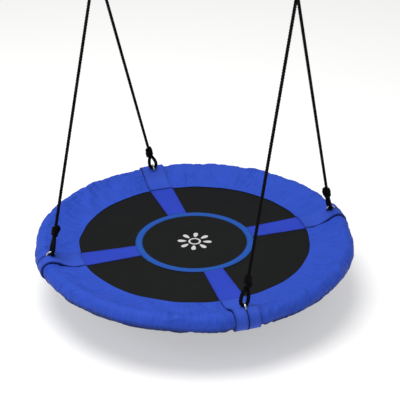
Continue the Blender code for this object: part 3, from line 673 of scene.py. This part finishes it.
def make_eyes():
    for corner, angle in CORNERS.items():
        matrix = eye_matrix(angle)
        ring = [(x, 0, z) for x, z in circle(EYE_RADIUS, 56, y=EYE_CENTRE)]
        eye = round_rod("eye", ring, EYE_ROD / 2, 20, closed=True)
        eye.data.transform(matrix)
        shoulder = TUBE_RADIUS + 0.0003
        collar = [(0, -0.0208), (0.0032, -0.0208), (0.0040, -0.0200), (0.0040, shoulder), (0.0070, shoulder),
                  (0.0075, shoulder + 0.0006), (0.0075, shoulder + 0.0026), (0.0066, shoulder + 0.0036),
                  (0.0046, shoulder + 0.0044), (0.0030, shoulder + 0.0056), (0, shoulder + 0.0058)]
        foot = turned("collar", collar, matrix)
        bolt = join_pieces(f"eye_{corner}", [eye, foot])
        finish_piece(bolt, "seat", "zinc_steel", f"eye_bolt_{corner}")


def stadium(bow, bow_z, shoulder, steps=24):
    """(x, z) line of the hook's body, from the upper end around to the lower one."""
    turns = [pi * i / steps for i in range(steps + 1)]
    upper = [(bow * cos(t), bow_z + bow * sin(t)) for t in turns]
    lower = [(bow * cos(pi + t), -bow_z + bow * sin(pi + t)) for t in turns]
    return [(bow, shoulder)] + upper + lower + [(bow, -shoulder)]


def small_box(name, low, high):
    (x0, y0, z0), (x1, y1, z1) = low, high
    vertices = [(x, y, z) for z in (z0, z1) for y in (y0, y1) for x in (x0, x1)]
    faces = [(0, 2, 3, 1), (4, 5, 7, 6), (0, 1, 5, 4), (2, 6, 7, 3), (0, 4, 6, 2), (1, 3, 7, 5)]
    obj = make_object(name, vertices, faces, M["zinc"], smooth=False)
    modifier = obj.modifiers.new("bevel", "BEVEL")
    modifier.width = 0.0004
    modifier.segments = 2
    bpy.context.view_layer.objects.active = obj
    with bpy.context.temp_override(object=obj, active_object=obj, selected_objects=[obj]):
        bpy.ops.object.modifier_apply(modifier="bevel")
    return obj


def make_hooks():
    for side, sign in SIDES.items():
        place = Matrix.Translation((sign * HALF_SPAN, 0, HOOK_CENTRE_Z))
        if sign < 0:
            place = place @ Matrix.Rotation(pi, 4, "Z")
        make_hook(side, place)
        make_gate(side, place)
        ring = [(0.0, y, z) for y, z in circle(RING_RADIUS, 72)]
        link = round_rod(f"link_{side}", ring, RING_ROD / 2, 22, closed=True)
        link.data.transform(Matrix.Translation((sign * HALF_SPAN, 0, RING_Z)))
        finish_piece(link, f"{side}_ring", "zinc_steel", f"top_ring_{side}")


def make_hook(side, place):
    """The hook's bent rod, with a flat tang at each end of its open side."""
    line = [(x, 0.0, z) for x, z in stadium(HOOK_BOW, HOOK_BOW_Z, HOOK_SHOULDER)]
    parts = [round_rod("hook", line, HOOK_ROD / 2, 20, step=0.0015)]
    for direction in (-1, 1):
        low, high = sorted((-direction * (HOOK_SHOULDER + 0.002), -direction * (HOOK_SHOULDER - 0.0085)))
        parts.append(small_box("tang", (HOOK_BOW - 0.0027, -0.0015, low), (HOOK_BOW + 0.0027, 0.0015, high)))
    for part in parts:
        part.data.transform(place)
    hook = join_pieces(f"hook_{side}", parts)
    sharpen(hook)
    finish_piece(hook, "hangers", "zinc_steel", f"snap_hook_{side}")


def make_gate(side, place):
    """The sprung gate: two half rounds beside the tangs, a core between them, and its pin."""
    low, high = -HOOK_SHOULDER + 0.0022, HOOK_SHOULDER - 0.0005
    rows = [(low, 0.80), (low + 0.0008, 1.0), (high - 0.0008, 1.0), (high, 0.85)]
    parts = []
    for face in (-1, 1):
        section = [(0.0040 * sin(t), face * max(0.0040 * abs(cos(t)), 0.0018))
                   for t in [-pi / 2 + pi * k / 14 for k in range(15)]]
        section += [(0.0038, 0.0018 * face), (-0.0038, 0.0018 * face)]
        vertices = []
        for z, scale in rows:
            vertices += [(HOOK_BOW + x * scale, y if abs(y) < 0.0019 else y * scale, z) for x, y in section]
        size = len(section)
        faces = grid_faces(len(rows), size, wrap_columns=True, flip=face > 0)
        faces += [tuple(range(size)), tuple((len(rows) - 1) * size + k for k in range(size))]
        parts.append(make_object("gate_half", vertices, faces, M["zinc"]))
    core = [(0, -0.0085), (0.0036, -0.0085), (0.0036, 0.0085), (0, 0.0085)]
    parts.append(turned("gate_core", core, Matrix.Translation((HOOK_BOW, 0, 0))))
    for part in parts:
        part.data.transform(place)
    gate = join_pieces(f"gate_{side}", parts)
    sharpen(gate)
    finish_piece(gate, f"gate_{side}", "zinc_steel", f"hook_gate_{side}")

    head = 0.0039
    outline = [(0, -head), (0.0009, -head), (0.0012, -head + 0.0003), (0.0012, head - 0.0003),
               (0.0009, head), (0, head)]
    turn = Matrix.Translation((HOOK_BOW, 0, -HOOK_SHOULDER + 0.0055)) @ Matrix.Rotation(pi / 2, 4, "X")
    pin = turned(f"pin_{side}", outline, place @ turn, 20)
    finish_piece(pin, "hangers", "zinc_steel", f"gate_pin_{side}")


# ---- fabric ----

def skirt_curve(lift, steps):
    """(r, z) from the mat's edge up to the tube: a cubic curve that meets both smoothly."""
    reach = COVER_RADIUS + lift
    leave = radians(SKIRT_ANGLE)
    end = np.array((RIM_RADIUS + reach * cos(leave), TUBE_ABOVE_MAT + reach * sin(leave)))
    start = np.array((MAT_RADIUS, 0.0003 + COVER_THICKNESS + lift))
    pull = (end[0] - start[0]) / 3
    controls = [start, start + pull * np.array((1.0, 0.06)),
                end - pull * np.array((1.0, -1.0 / tan(leave))), end]
    points = []
    for i in range(steps):
        t = i / steps
        points.append(sum(share * (1 - t) ** (3 - k) * t ** k * control
                          for k, (share, control) in enumerate(zip((1, 3, 3, 1), controls))))
    return points


def over_rim(lift, last_angle, skirt_steps, arc_steps):
    """(r, z) from the mat's edge up the skirt and around the tube to an angle."""
    reach = COVER_RADIUS + lift
    points = skirt_curve(lift, skirt_steps)
    for i in range(arc_steps + 1):
        t = radians(SKIRT_ANGLE + (last_angle - SKIRT_ANGLE) * i / arc_steps)
        points.append(np.array((RIM_RADIUS + reach * cos(t), TUBE_ABOVE_MAT + reach * sin(t))))
    return np.array(points)


def normals_of(path):
    """Outward normals of an (r, z) path that runs over the top towards the outside."""
    along = np.gradient(path, axis=0)
    along /= np.linalg.norm(along, axis=1)[:, None]
    return np.stack([-along[:, 1], along[:, 0]], axis=1)


def mat_height(r):
    return -SAG * (1.0 - min(1.0, r / MAT_RADIUS) ** 2)


def corner_offset(angle):
    """Distance around the rim, in metres, from the nearest hanging point."""
    from_corner = (angle % 90.0) - 45.0
    return radians(from_corner) * RIM_RADIUS


def wrinkle(ring, s, turn):
    """Height of the cover's creases: gathers that run across the rim, stronger outside and underneath.

    ring points to the place around the rim, s goes along the cover and turn around the tube."""
    patch = noise.noise(ring * 2.3 + Vector((4.1, 2.2, s * 3.0)))
    fine = noise.noise(ring * 24.0 + Vector((0, 0, s * 5.0)))
    finer = noise.noise(ring * 58.0 + Vector((1.7, 0.3, s * 9.0)))
    broad = noise.noise(ring * 6.0 + Vector((9.3, 5.1, s * 7.0)))
    strength = 0.30 + 0.70 * clamp((85.0 - turn) / 80.0)
    ridges = 1.0 - 2.2 * abs(fine)
    return 0.0019 * strength * (0.7 + patch) * ridges + 0.0011 * strength * finer + 0.0022 * broad


def skirt_heights(radii):
    skirt = np.array(skirt_curve(0.0, 60))
    return np.interp(radii, skirt[:, 0], skirt[:, 1])


def cover_path():
    """(r, z) of the cover: up the skirt, around the tube and back to the hem under the closure tape."""
    path = over_rim(0.0, COVER_END_ANGLE, SKIRT_ROWS, ARC_ROWS)
    tail_r = np.linspace(CLOSURE_RADIUS, CLOSURE_RADIUS - BAND_WIDTH, TAIL_ROWS)
    return np.concatenate([path, np.stack([tail_r, skirt_heights(tail_r) - TAIL_DROP], axis=1)])


def cover_angles():
    return [SEAM_ANGLE + 360.0 * i / COVER_COLUMNS for i in range(COVER_COLUMNS)]


def make_cover():
    path = cover_path()
    lengths = path_length(path)
    normals = normals_of(path)
    turns = np.concatenate([np.full(SKIRT_ROWS, SKIRT_ANGLE),
                            np.linspace(SKIRT_ANGLE, COVER_END_ANGLE, ARC_ROWS + 1),
                            np.full(TAIL_ROWS, COVER_END_ANGLE)])
    vertices, weave_map = [], []
    size = len(path)
    for angle in cover_angles():
        from_flap = abs(corner_offset(angle))
        free = clamp((from_flap - FLAP_WIDTH / 2 - 0.001) / FLAP_EASE)
        swell = 0.0012 * sin(pi * clamp((from_flap - 0.030) / 0.050))
        ring = Vector((cos(radians(angle)), sin(radians(angle)), 0.0))
        for k, (r, z) in enumerate(path):
            s = lengths[k]
            held = min(1.0, s / 0.010) * clamp((size - 3 - k) / 6)
            pressed = 0.0004 - min(0.0, flap_rise(s))
            rise = held * (free * wrinkle(ring, s, turns[k]) + swell - pressed * (1 - free))
            if s < 0.034:
                rise += 0.0012 * free * sin(pi * s / 0.034) * noise.noise(ring * 40.0)
                r += 0.0030 * free * noise.noise(ring * 5.5 + Vector((3.0, 0, 0))) * (1.0 - s / 0.034)
            vertices.append(seat_point(angle, r + normals[k][0] * rise, z + normals[k][1] * rise))
            weave_map.append((radians(angle) * RIM_RADIUS, s))
    faces = grid_faces(COVER_COLUMNS, size, wrap_rows=True)
    cover = make_object("rim_padding", vertices, faces, M["cover"], maps={"weave": weave_map})
    inflate(cover, held_points(size))
    settle(cover, path, normals, lengths)
    finish_piece(cover, "seat", "blue_fabric", "rim_cover")


def held_points(size):
    """Both hems and, under the flaps, every third row."""
    held = []
    for i, angle in enumerate(cover_angles()):
        under_flap = abs(corner_offset(angle)) < FLAP_WIDTH / 2
        for k in range(size):
            if k < 2 or k > size - 7 or (under_flap and k % 3 == 0):
                held.append(i * size + k)
    return held


def inflate(obj, held):
    """Fill the cover like a padded tube: a little spare cloth, air pressure from inside, hems held."""
    obj.vertex_groups.new(name="held").add(held, 1.0, "REPLACE")
    modifier = obj.modifiers.new("cloth", "CLOTH")
    settings = modifier.settings
    for key, value in dict(quality=5, mass=0.2, tension_stiffness=12, compression_stiffness=12,
                           shear_stiffness=4, bending_stiffness=0.15, vertex_group_mass="held",
                           shrink_min=-0.022, use_pressure=True, uniform_pressure_force=4.0).items():
        setattr(settings, key, value)
    settings.effector_weights.gravity = 0.0
    modifier.collision_settings.use_collision = False
    modifier.point_cache.frame_start = 1
    modifier.point_cache.frame_end = CLOTH_FRAMES
    scene = bpy.context.scene
    for step in range(1, CLOTH_FRAMES + 1):
        scene.frame_set(step)
    shape = obj.evaluated_get(bpy.context.evaluated_depsgraph_get()).to_mesh()
    puffed = np.zeros(len(shape.vertices) * 3)
    shape.vertices.foreach_get("co", puffed)
    obj.modifiers.remove(modifier)
    scene.frame_set(1)
    obj.data.vertices.foreach_set("co", puffed)


def settle(obj, path, normals, lengths):
    """Keep the cloth's folds but not its even growth, outside the foam and under the flaps."""
    shape = (COVER_COLUMNS, len(path), 3)
    points = np.zeros(3 * len(obj.data.vertices))
    obj.data.vertices.foreach_get("co", points)
    points = points.reshape(shape)
    turn = np.radians(cover_angles())
    offsets = np.array([abs(corner_offset(angle)) for angle in cover_angles()])
    free = np.clip((offsets - FLAP_WIDTH / 2 - 0.002) / FLAP_EASE, 0.0, 1.0)[:, None]
    even, outwards = np.zeros(shape), np.zeros(shape)
    for axis, share in enumerate((np.cos(turn), np.sin(turn))):
        even[:, :, axis] = share[:, None] * path[None, :, 0]
        outwards[:, :, axis] = share[:, None] * normals[None, :, 0]
    even[:, :, 2] = MAT_Z + path[None, :, 1]
    outwards[:, :, 2] = normals[None, :, 1]
    height = np.sum((points - even) * outwards, axis=2)
    growth = np.sum(height * free, axis=0) / free.sum()
    over_foam = (lengths > FOAM_FROM)[None, :]
    folds = height - growth[None, :]
    lumps = sum(np.roll(folds, shift, axis=0) for shift in range(-18, 19)) / 37
    wanted = 0.9 * folds - 0.6 * lumps + np.where(over_foam, 0.0008, 0.0)
    wanted = np.clip(wanted, -0.0040, 0.0055)
    pressed = np.array([max(LEAST_ON_SKIRT, min(0.0, flap_rise(s)) - 0.0004) for s in lengths])[None, :]
    wanted = free * wanted + (1.0 - free) * np.minimum(wanted, pressed)
    least = np.where(over_foam, LEAST_OVER_FOAM, LEAST_ON_SKIRT)
    eased = least + 0.0003 * np.tanh((wanted - least) / 0.0003)
    wanted = np.where(wanted < least, eased, wanted)
    points += outwards * (wanted - height)[:, :, None]
    obj.data.vertices.foreach_set("co", points.ravel())
    obj.data.update()


def strip(name, path, widths, angle, columns, material, lift, edge_rise, slit=None, wall=None, line=None):
    """Fabric along a radius: (r, z) path, width at each point, rounded edges and a slit along its middle.

    lift gives the height at a point, slit how far the slit is open there, wall how far the turned-down side
    reaches and line how fine the dark hem is; that hem is partly a dark binding and partly painted shade."""
    lengths = path_length(path)
    normals = normals_of(path)
    halves = []
    for sign in (-1, 1):
        vertices, edge_map, weave_map = [], [], []
        for k, (r, z) in enumerate(path):
            half = widths[k] / 2
            gap = slit(lengths[k]) if slit else 0.0
            fine = line(lengths[k]) if line else 1.0
            for j in range(columns + 1 + (2 if wall else 0)):
                share = min(1.0, j / columns) ** 0.8
                across = gap + (half - gap) * share
                from_edge = half - across
                rise = lift(lengths[k], sign * across)
                if from_edge < 0.004:
                    rise += edge_rise * sin(pi * min(1.0, from_edge / 0.004 + 0.25))
                    rise -= 0.0016 * (1.0 - from_edge / 0.004) ** 6
                if gap > 0 and across - gap < 0.0035:
                    rise += edge_rise * 0.9 * sin(pi * min(1.0, (across - gap) / 0.0035 + 0.35))
                if j > columns:
                    rise -= wall(lengths[k]) * (j - columns) / 2
                    across += 0.0004 * (j - columns)
                radius = r + normals[k][0] * rise
                turn = angle + degrees(np.arcsin(sign * across / radius))
                vertices.append(seat_point(turn, radius, z + normals[k][1] * rise))
                from_end = min(lengths[k], lengths[-1] - lengths[k])
                open_edge = across - gap if gap > 0 else 1.0
                edge_map.append((min(from_edge * fine, open_edge, from_end + 0.001), lengths[k]))
                weave_map.append((sign * across, lengths[k]))
        faces = grid_faces(len(path), len(vertices) // len(path), flip=sign > 0)
        maps = {"edge": edge_map, "weave": weave_map}
        halves.append(make_object("half", vertices, faces, material, maps=maps))
    whole = join_pieces(name, halves)
    weld(whole)
    thicken(whole, CLOTH)
    return whole


def weld(obj):
    """Join the points of the two halves along the middle."""
    work = bmesh.new()
    work.from_mesh(obj.data)
    bmesh.ops.remove_doubles(work, verts=work.verts, dist=0.00002)
    work.to_mesh(obj.data)
    work.free()
    obj.data.shade_smooth()


def flap_rise(s):
    """A flap is pulled down on the skirt and stands proud over the tube."""
    return -0.0048 * sin(pi * min(1.0, s / 0.082)) ** 2 + 0.0040 * smooth(0.066, 0.100, s)


def make_flaps():
    eye_r = RIM_RADIUS - sin(radians(EYE_TILT)) * (COVER_RADIUS + 0.002)
    path = over_rim(0.0024, -106.0, 40, 60)
    lengths = path_length(path)
    eye_s = float(np.interp(eye_r, path[:70, 0], lengths[:70]))

    def slit(s):
        near = abs(s - eye_s) / 0.0165
        opening = 0.0046 * sqrt(max(0.0, 1.0 - near * near)) if near < 1.0 else 0.0
        return max(opening, 0.0013 if s > eye_s else 0.0)

    def wall(s):
        return 0.0016 + 0.0046 * smooth(0.050, 0.095, s)

    # How fine the dark hem is, partly a binding and partly painted shade: narrower on the skirt than over the
    # tube.
    def line(s):
        return 1.2 - 0.2 * smooth(0.04, 0.09, s)

    for corner, angle in CORNERS.items():
        def lift(s, across):
            pucker = noise.noise(Vector((across * 60.0, s * 34.0, angle)))
            outer = smooth(0.05, 0.10, s)
            tent = 0.0022 * exp(-((s - eye_s) / 0.022) ** 2 - (across / 0.026) ** 2)
            wave = 0.0009 * outer * noise.noise(Vector((s * 30.0, 3.0 if across > 0 else 8.0, angle)))
            return flap_rise(s) + tent + wave * abs(across) / 0.039 + 0.0007 * pucker * outer

        widths = [FLAP_WIDTH] * len(path)
        flap = strip(f"flap_{corner}", path, widths, angle, 22, M["flap"], lift, 0.0010, slit, wall, line)
        finish_piece(flap, "seat", "flap_fabric", f"hanging_flap_{corner}")


def make_mat():
    radius = MAT_RADIUS + MAT_SEAM
    rings, around = 60, 256
    vertices = [seat_point(0.0, 0.0, mat_height(0.0))]
    weave_map = [(0.0, 0.0)]
    for i in range(1, rings + 1):
        r = radius * i / rings
        for k in range(around):
            angle = 360.0 * k / around
            t = radians(angle)
            drape = 0.0007 * noise.noise(Vector((r * cos(t) * 9, r * sin(t) * 9, 0.4)))
            calm = 1.0 - max(0.0, (r - MAT_RADIUS + 0.03) / 0.042)
            vertices.append(seat_point(angle, r, mat_height(r) - 0.0006 + drape * calm))
            weave_map.append((r * cos(t), r * sin(t)))
    faces = [(0, 1 + k, 1 + (k + 1) % around) for k in range(around)]
    faces += grid_faces(rings, around, wrap_columns=True, start=1, flip=True)
    mat = make_object("mat", vertices, faces, M["mat"], maps={"weave": weave_map})
    thicken(mat, 0.0014)
    finish_piece(mat, "seat", "black_fabric", "seat_mat")
    pieces = make_spokes() + make_hub()


def make_spokes():
    spokes = []
    inner, outer, steps = HUB_RING_RADIUS - 0.003, MAT_RADIUS + 0.003, 30
    radii = [inner + (outer - inner) * i / steps for i in range(steps + 1)]
    path = np.array([(r, mat_height(r) + PATCH_LIFT) for r in radii])
    widths = [SPOKE_AT_HUB + (SPOKE_AT_RIM - SPOKE_AT_HUB) * i / steps for i in range(steps + 1)]
    for corner, angle in CORNERS.items():
        def lift(s, across):
            return 0.0004 * noise.noise(Vector((across * 40.0, s * 25.0, angle)))

        spoke = strip(f"strap_{corner}", path, widths, angle, 14, M["spoke"], lift, 0.0006)
        finish_piece(spoke, "seat", "blue_fabric", f"spoke_{corner}")
        spokes.append(spoke)
    return spokes


def annulus(name, radii_heights, material):
    """A flat ring through (r, z) rows, from the inside out."""
    vertices, edge_map, weave_map = [], [], []
    inner, outer = radii_heights[0][0], radii_heights[-1][0]
    for r, z in radii_heights:
        for k in range(RING_STEPS):
            angle = 360.0 * k / RING_STEPS
            vertices.append(seat_point(angle, r, z))
            edge_map.append((min(r - inner, outer - r), radians(angle) * outer))
            weave_map.append((r * cos(radians(angle)), r * sin(radians(angle))))
    faces = grid_faces(len(radii_heights), RING_STEPS, wrap_columns=True, flip=True)
    return make_object(name, vertices, faces, material, maps={"edge": edge_map, "weave": weave_map})


def make_hub():
    inner = HUB_RING_RADIUS - HUB_RING_WIDTH
    section = []
    for i in range(13):
        t = i / 12
        r = inner + HUB_RING_WIDTH * t
        bead = 0.0009 * (1.0 - (2 * t - 1) ** 8) - 0.0006 * (1.0 - sin(pi * t)) ** 6
        section.append((r, mat_height(r) + PATCH_LIFT + bead))
    ring = annulus("hub_band", section, M["hub_ring"])
    disc_rows = [(r, mat_height(r) + 0.0009) for r in np.linspace(0.0004, inner + 0.001, 40)]
    disc = annulus("hub_panel", disc_rows, M["hub"])
    mark = make_mark()
    finish_piece(ring, "seat", "hub_ring_fabric", "hub_ring")
    finish_piece(disc, "seat", "hub_fabric", "hub_disc")
    finish_piece(mark, "seat", "hub_fabric")
    return [ring, disc, mark]


def make_mark():
    """A plain rosette of eight petals around a ring, in pale thread."""
    vertices, faces = [], []
    petal_centre, petal_length, petal_width = 0.0400, 0.0140, 0.0070

    def add_patch(points):
        start = len(vertices)
        for x, y in points:
            r = sqrt(x * x + y * y)
            vertices.append(seat_point(degrees(np.arctan2(y, x)), r, mat_height(r) + 0.0013))
        faces.append(tuple(range(start, start + len(points))))

    for k in range(8):
        turn = radians(45.0 * k + 22.5)
        petal = []
        for i in range(24):
            a = 2 * pi * i / 24
            x = petal_centre + petal_length * cos(a)
            y = petal_width * sin(a) * (1.0 + 0.35 * cos(a))
            petal.append((x * cos(turn) - y * sin(turn), x * sin(turn) + y * cos(turn)))
        add_patch(petal)
    inside, outside = circle(0.014, 48), circle(0.020, 48)
    for k in range(48):
        add_patch([inside[k], outside[k], outside[(k + 1) % 48], inside[(k + 1) % 48]])
    return make_object("hub_rosette", vertices, faces, M["mark"], smooth=False)


def make_band():
    """The tape that closes the cover under the rim."""
    radii = np.linspace(CLOSURE_RADIUS - BAND_WIDTH, CLOSURE_RADIUS, 6)
    top = [(r, z - TAPE_DROP) for r, z in zip(radii, skirt_heights(radii))]
    outline = top + [(r, z - TAPE_THICKNESS) for r, z in top[::-1]]
    vertices = []
    for r, z in outline:
        vertices += [seat_point(360.0 * k / RING_STEPS, r, z) for k in range(RING_STEPS)]
    faces = grid_faces(len(outline), RING_STEPS, wrap_rows=True, wrap_columns=True)
    band = make_object("closure_tape", vertices, faces, M["tape"])
    finish_piece(band, "seat", "hook_and_loop", "closure_band")


# ---- stage ----

def make_stage():
    floor_z = MAT_Z - FLOOR_DROP
    size = 30.0
    vertices = [(x * size, y * size, floor_z) for x, y in ((-1, -1), (1, -1), (1, 1), (-1, 1))]
    look = Nodes("floor_white", (0.70, 0.70, 0.69), 0.9)
    white = (1.0, 1.0, 1.0, 1.0)
    set_inputs(look.shader, Specular_IOR_Level=0.0, Emission_Color=white, Emission_Strength=0.43)
    make_object("floor", vertices, [(0, 1, 2, 3)], look.material, smooth=False)
    world = bpy.data.worlds.new("studio")
    world.use_nodes = True
    set_inputs(world.node_tree.nodes["Background"], Color=white, Strength=0.38)
    bpy.context.scene.world = world
    for name, place, aim, width, energy in (
            ("top_light", (-0.33, -0.60, 2.3), (0.0, 0.0, -1.2), 2.4, 98.0),
            ("front_light", (-2.4, -3.6, 1.6), (0.0, 0.0, -1.0), 2.2, 26.0)):
        data = bpy.data.lights.new(name, "AREA")
        data.shape = "DISK"
        data.size = width
        data.energy = energy
        light = placed(name, data)
        direction = Vector(aim) - Vector(place)
        turn = direction.to_track_quat("-Z", "Y").to_matrix().to_4x4()
        light.matrix_world = Matrix.Translation(place) @ turn
    view = bpy.context.scene.view_settings
    view.view_transform = "Standard"
    view.look = "None"
    view.exposure = 0.0


def dress_cad():
    """Materials for the CAD nodes that stay as they are, inside the cover."""
    looks = {"frame_tube": "tube", "foam_sleeve": "foam", "eye_washer": "zinc", "eye_nut": "zinc"}
    for name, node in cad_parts.items():
        for key, look in looks.items():
            if name.startswith(key):
                node.data.materials.clear()
                node.data.materials.append(M[look])
                node.data.shade_smooth()
                sharpen(node)


make_camera()
make_ropes()
make_top_knots()
make_eyes()
make_hooks()
make_cover()
make_flaps()
make_mat()
make_band()
dress_cad()
make_stage()
